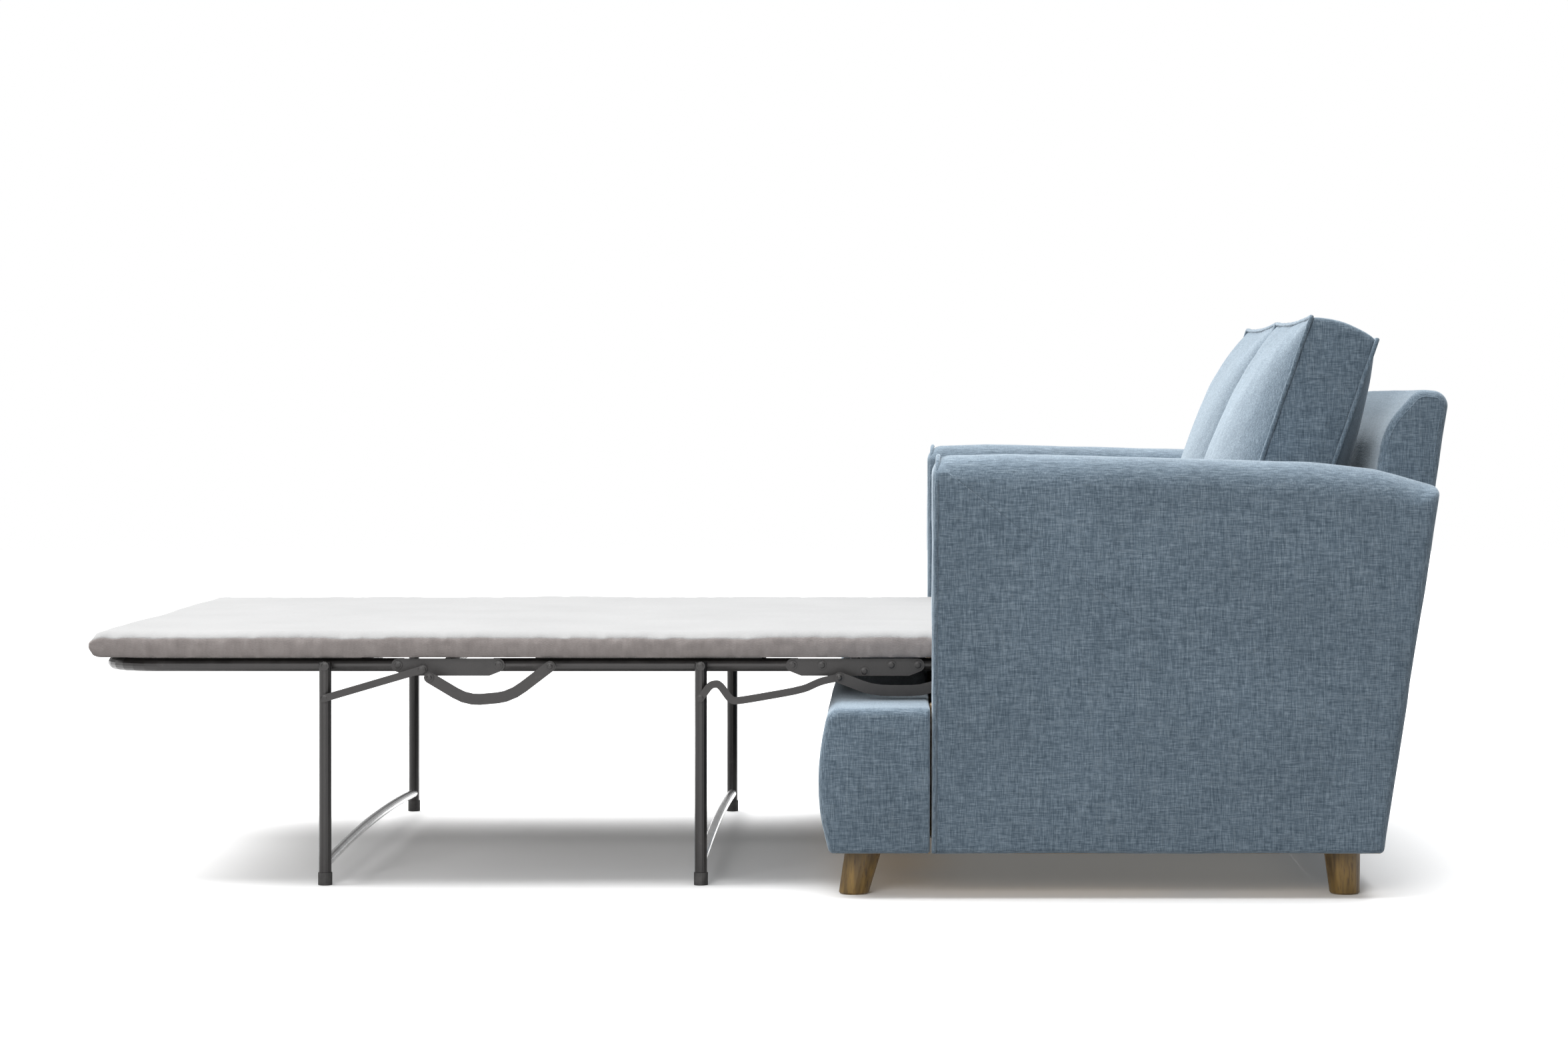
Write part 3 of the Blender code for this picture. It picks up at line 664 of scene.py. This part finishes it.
def make_backrest():
    """The leaning panel, with a fine closed seam round each end."""
    low, high = BACK_LOW, BACK_HIGH
    rear_low = high.y - REAR_SLANT * (high.z - 0.02 - low.z)
    corners = [(rear_low - BACK_THICKNESS, low.z, 0.008), (rear_low, low.z, 0.008),
               (high.y, high.z - 0.004, 0.024), (high.y - 0.052, high.z, 0.030),
               (high.y - 0.108, high.z - 0.060, 0.11)]
    outline = rounded(corners)
    back = upholstered("backrest_cover", outline, low.x, high.x, BACK_ROLLS, BACK_CROWN, seed=11.0)
    dress(back, FABRIC, "root", "upholstery", "backrest")
    for side, word in ((1, "right"), (-1, "left")):
        x = side * (high.x - 0.0012)
        inset = [q - out * SEAM_INSET for q, out in zip(outline, outward(outline))]
        loop = [Vector((x, p.x, p.y)) for p in inset]
        cord = piping("backrest_seam_" + word, loop, SEAM_R, closed=True)
        dress(cord, FABRIC, "root", "upholstery")


# ---------------------------------------------------------------- cushions
def cushion_point(u, v, depth, width):
    """A point of the cushion's outline plane: its sides pull in between pointed corners."""
    x = width / 2 * u * (1 - 0.030 * (1 - v * v) * u * u)
    z = CUSHION_HEIGHT / 2 * v * (1 - 0.028 * (1 - u * u) * v * v)
    return Vector((x, depth, z))


def cushion_mesh(name, width, seed):
    """A boxy crowned cushion as a closed grid. Returns the object and the vertices on its two seams."""
    nx, nz, nd = 60, 48, 11
    bm = bmesh.new()
    keep = {}

    def vert(i, k, face):
        key = (i, k, face)
        if key not in keep:
            u, v = 2 * i / nx - 1, 2 * k / nz - 1
            crown = FRONT_CROWN if face == 0 else REAR_CROWN
            dome = (1 - u ** 4) ** 0.7 * (1 - v ** 4) ** 0.7 * (1 - 0.22 * v)
            fold = 0.009 * noise.noise(Vector((u * 4.0 + seed, v * 1.1, face * 9.0)))
            depth = -(crown + fold) * dome if face == 0 else CUSHION_EDGE + (crown + fold) * dome
            keep[key] = bm.verts.new(cushion_point(u, v, depth, width))
        return keep[key]

    for face in (0, 1):
        for i in range(nx):
            for k in range(nz):
                bm.faces.new((vert(i, k, face), vert(i + 1, k, face), vert(i + 1, k + 1, face),
                              vert(i, k + 1, face)))
    rim = [(i, 0) for i in range(nx)] + [(nx, k) for k in range(nz)]
    rim += [(i, nz) for i in range(nx, 0, -1)] + [(0, k) for k in range(nz, 0, -1)]
    bands = [[vert(i, k, 0) for i, k in rim]]
    for d in range(1, nd):
        band = []
        for i, k in rim:
            a, b = vert(i, k, 0).co, vert(i, k, 1).co
            t = d / nd
            p = a.lerp(b, t)
            u, v = 2 * i / nx - 1, 2 * k / nz - 1
            out = BAND_CROWN * math.sin(math.pi * t) ** 0.8
            if abs(u) == 1:
                p.x += 0.4 * out * u * (1 - 0.7 * v * v)
            if abs(v) == 1:
                p.z += out * v * (1 - 0.25 * u * u)
            band.append(bm.verts.new(p))
        bands.append(band)
    bands.append([vert(i, k, 1) for i, k in rim])
    for first, second in zip(bands, bands[1:]):
        for i in range(len(rim)):
            n = (i + 1) % len(rim)
            bm.faces.new((first[i], first[n], second[n], second[i]))
    bm.verts.index_update()
    pinned = [v.index for v in bands[0]] + [v.index for v in bands[-1]]
    return new_object(name, bm), pinned


def fill(obj, pinned):
    """Blow the cover up a little with a cloth simulation, its seams held, and cap how far it may go."""
    rest = [v.co.copy() for v in obj.data.vertices]
    group = obj.vertex_groups.new(name="seam")
    group.add(pinned, 1.0, "REPLACE")
    mod = obj.modifiers.new("cloth", "CLOTH")
    mod.settings.quality = 6
    mod.settings.mass = 0.35
    mod.settings.tension_stiffness = 12
    mod.settings.compression_stiffness = 6
    mod.settings.shear_stiffness = 4
    mod.settings.bending_stiffness = 0.4
    mod.settings.use_pressure = True
    mod.settings.uniform_pressure_force = 4.0
    mod.settings.vertex_group_mass = "seam"
    mod.settings.effector_weights.gravity = 0.0
    mod.collision_settings.use_collision = False
    mod.collision_settings.use_self_collision = False
    mod.point_cache.frame_start = 1
    mod.point_cache.frame_end = FILL_FRAMES
    for number in range(1, FILL_FRAMES + 1):
        SCENE.frame_set(number)
    graph = bpy.context.evaluated_depsgraph_get()
    moved = [v.co.copy() for v in obj.evaluated_get(graph).data.vertices]
    obj.modifiers.remove(mod)
    obj.vertex_groups.clear()
    SCENE.frame_set(1)
    for v, a, b in zip(obj.data.vertices, rest, moved):
        step = b - a
        if step.length > SWELL:
            over = 1 - math.exp(-(step.length - SWELL) / SWELL)
            step = step.normalized() * (SWELL + over * SWELL_OVER)
        v.co = a + step


def subdivide(obj, levels=1):
    """Apply a subdivision surface to the mesh."""
    mod = obj.modifiers.new("finer", "SUBSURF")
    mod.levels = levels
    mod.render_levels = levels
    graph = bpy.context.evaluated_depsgraph_get()
    mesh = bpy.data.meshes.new_from_object(obj.evaluated_get(graph))
    obj.modifiers.remove(mod)
    old = obj.data
    obj.data = mesh
    bpy.data.meshes.remove(old)
    mesh.shade_smooth()


def make_cushions():
    """The two loose back cushions, placed by the top of their front seam."""
    width = CUSHION_HIGH.x - CUSHION_LOW.x - CUSHION_SLIM
    top_front = Vector((0, 0, CUSHION_HIGH.z - 0.004))
    top_front.y = CAD_BOX[1][1] - CUSHION_FOOT_FROM_REAR + CUSHION_RISE * math.sin(CUSHION_LEAN)
    middle = top_front - LEAN_UP * (CUSHION_HEIGHT / 2)
    for side, word in ((1, "right"), (-1, "left")):
        centre_x = side * (CUSHION_LOW.x + CUSHION_HIGH.x) / 2
        cushion, pinned = cushion_mesh("cushion_" + word, width, 4.0 * side)
        fill(cushion, pinned)
        subdivide(cushion)
        place = Matrix.Translation((centre_x, middle.y, middle.z)) @ Matrix.Rotation(-CUSHION_LEAN, 4, "X")
        settle(cushion, place)
        dress(cushion, FABRIC_LEANING, "root", "upholstery", "back_cushion_" + word)
        make_cushion_piping(word, width, place)


def settle(cushion, place):
    """Put the cushion in place and keep it off the mattress and the backrest."""
    cushion.data.transform(place)
    floor = HEAD_PAD_HIGH.z + CUSHION_REST
    shoulder = BACK_HIGH.z - BACK_SHOULDER
    front = BACK_HIGH.y - 0.108
    clear = 0.002
    for v in cushion.data.vertices:
        v.co += v.normal * 0.0008 * noise.noise(v.co * 30.0)
        above = v.co.z - shoulder
        back = front + (0.44 if above > 0 else REAR_SLANT) * above
        if v.co.y > back - clear and v.co.z < BACK_HIGH.z:
            v.co.y = back - clear
        v.co.z = max(v.co.z, floor)


def make_cushion_piping(word, width, place):
    """Corded seams round the front and the rear face."""
    steps = 60
    for depth, face in ((-0.0005, "front"), (CUSHION_EDGE + 0.0005, "rear")):
        points = []
        sides = (((-1, -1), (1, -1)), ((1, -1), (1, 1)), ((1, 1), (-1, 1)), ((-1, 1), (-1, -1)))
        for a, b in sides:
            for k in range(steps):
                t = k / steps
                u, v = a[0] + (b[0] - a[0]) * t, a[1] + (b[1] - a[1]) * t
                points.append(place @ (cushion_point(u, v, depth, width + 0.003)))
        floor = HEAD_PAD_HIGH.z + CUSHION_REST + PIPING_R
        for p in points:
            p.z = max(p.z, floor)
            p += Vector((0.0006, 0.0012, 0.0008)) * noise.noise(p * 17.0)
        cord = piping("cushion_piping_" + face + "_" + word, points, PIPING_R, closed=True)
        dress(cord, FABRIC_LEANING, "root", "upholstery")


# ---------------------------------------------------------------- mattress
def mattress_ring(y, tip):
    """One slice across the mattress at y. tip is 1 in the middle and falls to 0 at a closed end."""
    low, high = HEAD_PAD_LOW.z, HEAD_PAD_HIGH.z
    half = FOOT_PAD_HIGH.x
    thick = high - low
    middle = low + thick * 0.48
    points = []
    across = 46
    edge = 9
    outline = []
    for k in range(across + 1):
        outline.append((-1 + 2 * k / across, 1, 0))
    for k in range(1, edge):
        outline.append((1, 1 - 2 * k / edge, 1))
    for k in range(across + 1):
        outline.append((1 - 2 * k / across, -1, 0))
    for k in range(1, edge):
        outline.append((-1, -1 + 2 * k / edge, 1))
    for u, v, on_side in outline:
        roll = max(0.0, (abs(u) - 0.955) / 0.045)
        drop = 0.34 if v > 0 else 0.06
        x = half * u * (1 - 0.004 * roll)
        z = middle + v * thick / 2 * (1 - drop * roll ** 3)
        if on_side:
            x = half * u * (0.996 + 0.006 * (1 - v * v))
            z = middle + v * thick / 2 * (1 - drop)
        pucker = noise.noise(Vector((u * 2.0, y * 46.0, v * 0.6)))
        pucker += 0.6 * noise.noise(Vector((u, y * 95.0, v)))
        soft = noise.noise(Vector((x * 3.2, y * 3.4, 2.0)))
        soft += 0.5 * noise.noise(Vector((x * 8.0, y * 7.0, 5.0)))
        near_side = max(0.0, (abs(x) - half + 0.075) / 0.075)
        if on_side:
            x += math.copysign(0.0032 * pucker, u)
            z += 0.0012 * pucker
        elif v > 0:
            z += 0.0026 * soft + 0.0022 * pucker * near_side ** 2
        z = middle + (z - middle) * (0.35 + 0.65 * tip)
        points.append(Vector((x, y, max(z, low))))
    return points


def mattress_piece(name, y0, y1, step=MATTRESS_STEP):
    """A closed length of mattress between two places."""
    bm = bmesh.new()
    rings = []
    count = round((y1 - y0) / step)
    for k in range(count + 1):
        y = y0 + (y1 - y0) * k / count
        ends = min(y - CAD_BOX[0][1], HEAD_PAD_HIGH.y - y)
        reach = min(1.0, ends / MATTRESS_NOSE)
        tip = math.sqrt(max(0.0, 1 - (1 - reach) ** 2))
        rings.append([bm.verts.new(p) for p in mattress_ring(y, tip)])
    for first, second in zip(rings, rings[1:]):
        for i in range(len(first)):
            n = (i + 1) % len(first)
            bm.faces.new((first[i], first[n], second[n], second[i]))
    for ring in (rings[0], rings[-1]):
        middle = sum((v.co for v in ring), Vector()) / len(ring)
        tip = bm.verts.new(middle)
        for i in range(len(ring)):
            n = (i + 1) % len(ring)
            bm.faces.new((ring[i], ring[n], tip))
    piece = new_object(name, bm)
    piece.data.set_sharp_from_angle(angle=math.radians(62))
    return piece


def make_mattress():
    """One mattress in four lengths, each lying across one pivot of the folding frame."""
    over_foot = (Y_A1 + Y_B1) / 2
    middle = (MID_PAD_LOW.y + MID_PAD_HIGH.y) / 2
    over_head = (Y_A2 + Y_B2) / 2
    foot_gap = Y_A1 - FOOT_PAD_HIGH.y
    head_gap = HEAD_PAD_LOW.y - Y_B2
    inner = BLEND_INNER
    parts = (
        ("mattress_foot", CAD_BOX[0][1], over_foot, "foot_section", "foot_hinge", Y_A1 - foot_gap,
         Y_A1 + inner, ("foot_mattress", "foot_hinge_pad")),
        ("mattress_middle", over_foot, middle, "foot_hinge", "mid_section", Y_B1 - inner,
         Y_B1 + foot_gap, ("mid_mattress",)),
        ("mattress_waist", middle, over_head, "mid_section", "head_hinge", Y_A2 - head_gap,
         Y_A2 + inner, ("head_hinge_pad",)),
        ("mattress_head", over_head, HEAD_PAD_HIGH.y, "head_hinge", "root", Y_B2 - inner,
         Y_B2 + head_gap, ("head_mattress",)),
    )
    for name, y0, y1, first, second, start, end, replaced in parts:
        piece = mattress_piece(name, y0, y1)
        dress(piece, MATTRESS, None, "mattress_cloth", *replaced)
        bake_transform(piece)


# ---------------------------------------------------------------- carried-over hard parts
def dress_hard_parts():
    """Give every CAD node the material of its slot."""
    looks = {"frame_paint": PAINT, "chrome": CHROME, "leg_wood": LEG_WOOD, "timber": TIMBER,
             "foot_plastic": PLASTIC, "deck_cloth": DECK, "upholstery": FABRIC, "mattress_cloth": MATTRESS}
    for entry in frame["record"]["subparts"]:
        obj = NODES[entry["node"]]
        obj.data.materials.clear()
        obj.data.materials.append(looks[entry["material_slot"]])


def dome(bm, x, y, z, radius, height, side):
    """A domed rivet head on a washer, standing on the face at x and facing away from the bed."""
    sides = 20
    profile = [(1.35, 0.0), (1.35, 0.22), (1.27, 0.30), (1.0, 0.30), (0.97, 0.50), (0.80, 0.80),
               (0.45, 0.97)]
    rings = []
    for share, rise in profile:
        ring = []
        for k in range(sides):
            a = 2 * math.pi * k / sides
            ring.append(bm.verts.new((side * (x + rise * height), y + math.cos(a) * radius * share,
                                      z + math.sin(a) * radius * share)))
        rings.append(ring)
    for first, second in zip(rings, rings[1:]):
        for k in range(sides):
            n = (k + 1) % sides
            bm.faces.new((first[k], first[n], second[n], second[k]))
    tip = bm.verts.new((side * (x + height), y, z))
    for k in range(sides):
        bm.faces.new((rings[-1][k], rings[-1][(k + 1) % sides], tip))
    bm.faces.new(rings[0][::-1])


def make_rivets():
    """Domed heads over each pivot and along the plates, on the outermost face of each part."""
    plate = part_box("foot_hinge_plate_right")[1].x
    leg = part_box("leg_1_tube_right")[1].x
    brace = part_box("leg_1_brace_right")[1].x
    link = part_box("foot_link_right")[1].x
    z = Z_RAIL
    y_leg_1, y_leg_2 = JOINT["leg_1_fold"][1], JOINT["leg_2_fold"][1]
    z_bolt = JOINT["leg_1_brace_turn"][2]
    groups = {
        "foot_hinge": [(plate, Y_A1, z), (plate, Y_B1, z), (plate, Y_A1 + BOLT_STEP[0], z - BOLT_STEP[1])],
        "head_hinge": [(plate, Y_A2, z), (plate, Y_A2 + 0.048, z), (plate, Y_A2 + 0.117, z - 0.010),
                       (plate, Y_B2 - 0.043, z), (plate, Y_B2, z)],
        "leg_1": [(leg, y_leg_1, z)],
        "leg_2": [(leg, y_leg_2, z)],
        "leg_1_brace": [(brace, y_leg_1, z_bolt), (brace, Y_A1 + BOLT_STEP[0], z - BOLT_STEP[1])],
        "leg_2_brace": [(brace, y_leg_2, z_bolt)],
        "foot_links": [(link, JOINT["foot_link_turn"][1], z),
                       (link, Y_A1 + LINK_1_END[0], z - LINK_1_END[1])],
        "head_links": [(link, JOINT["head_link_turn"][1], z),
                       (link, Y_A2 + LINK_2_END[0], z - LINK_2_END[1])],
    }
    for body, places in groups.items():
        height = RIVET_HIGH if "links" in body else RIVET_LOW
        for side, word in ((1, "right"), (-1, "left")):
            bm = bmesh.new()
            for x, y, level in places:
                dome(bm, x, y, level, RIVET_R, height, side)
            heads = new_object("rivets_" + body + "_" + word, bm)
            heads.data.set_sharp_from_angle(angle=math.radians(40))
            dress(heads, RIVET, body, "frame_paint")


# ---------------------------------------------------------------- stage, light and camera
def make_stage():
    """A plain pale floor, just under the feet."""
    bm = bmesh.new()
    half = FLOOR_HALF
    places = ((-half, -half), (half, -half), (half, half), (-half, half))
    bm.faces.new([bm.verts.new((x, y, -0.0005)) for x, y in places])
    floor = new_object("floor", bm, smooth=False)
    n = Nodes("floor_paint")
    tone = n.noise(n.mapping((1.5, 1.5, 1.5)), 1.0, 2.0)
    n.link(n.ramp(tone, [(0.2, (0.90, 0.90, 0.90)), (0.8, (0.93, 0.93, 0.93))]),
           n.shader.inputs["Base Color"])
    n.value("Roughness", 0.9)
    n.value("Specular IOR Level", 0.1)
    floor.data.materials.append(n.mat)
    floor.visible_diffuse = False       # the pale floor throws no light back on the sides


def area_light(name, place, aim, size, power):
    """A soft panel at a place, aimed at a point."""
    data = bpy.data.lights.new(name, "AREA")
    data.shape = "RECTANGLE"
    data.size, data.size_y = size
    data.energy = power
    light = bpy.data.objects.new(name, data)
    light.location = place
    light.rotation_euler = (Vector(aim) - Vector(place)).to_track_quat("-Z", "Y").to_euler()
    SCENE.collection.objects.link(light)


def make_light():
    """A white room, a wide sun from above and a little from the far side, and two soft panels."""
    world = SCENE.world or bpy.data.worlds.new("studio")
    SCENE.world = world
    world.use_nodes = True
    tree = world.node_tree
    sky = tree.nodes["Background"]
    sky.inputs["Color"].default_value = (1.0, 1.0, 1.0, 1.0)
    seen = tree.nodes.new("ShaderNodeLightPath")
    strength = tree.nodes.new("ShaderNodeMapRange")
    strength.inputs["To Min"].default_value = ROOM_LIGHT
    strength.inputs["To Max"].default_value = ROOM_SEEN
    tree.links.new(seen.outputs["Is Camera Ray"], strength.inputs["Value"])
    tree.links.new(strength.outputs["Result"], sky.inputs["Strength"])
    data = bpy.data.lights.new("overhead", "SUN")
    data.energy = SUN_POWER
    data.angle = math.radians(SUN_SPREAD)
    sun = bpy.data.objects.new("overhead", data)
    sun.rotation_euler = Vector(SUN_WAY).to_track_quat("-Z", "Y").to_euler()
    SCENE.collection.objects.link(sun)
    area_light("side_fill", (4.6, -0.8, 1.9), (0, 0.2, 0.4), (2.4, 1.8), SIDE_FILL_POWER)
    area_light("foot_end", (0.5, -4.4, 2.0), (0, 0.4, 0.5), (2.4, 1.8), FOOT_END_POWER)
    SCENE.view_settings.view_transform = "Standard"


def make_camera():
    """Level view square to the sofa's side, shifted to hold the open bed and the whole sofa."""
    data = bpy.data.cameras.new("view")
    data.lens = LENS
    data.sensor_width = 36.0
    data.shift_x, data.shift_y = LENS_SHIFT
    camera = bpy.data.objects.new("view", data)
    camera.location = (ARM_HIGH.x + CAMERA_AWAY, CAMERA_Y, CAMERA_HEIGHT)
    camera.rotation_euler = (math.radians(90), 0, math.radians(90))
    SCENE.collection.objects.link(camera)
    SCENE.camera = camera


dress_hard_parts()
make_arms()
make_border()
make_backrest()
make_cushions()
make_mattress()
make_rivets()
make_stage()
make_light()
make_camera()

bpy.context.view_layer.update()
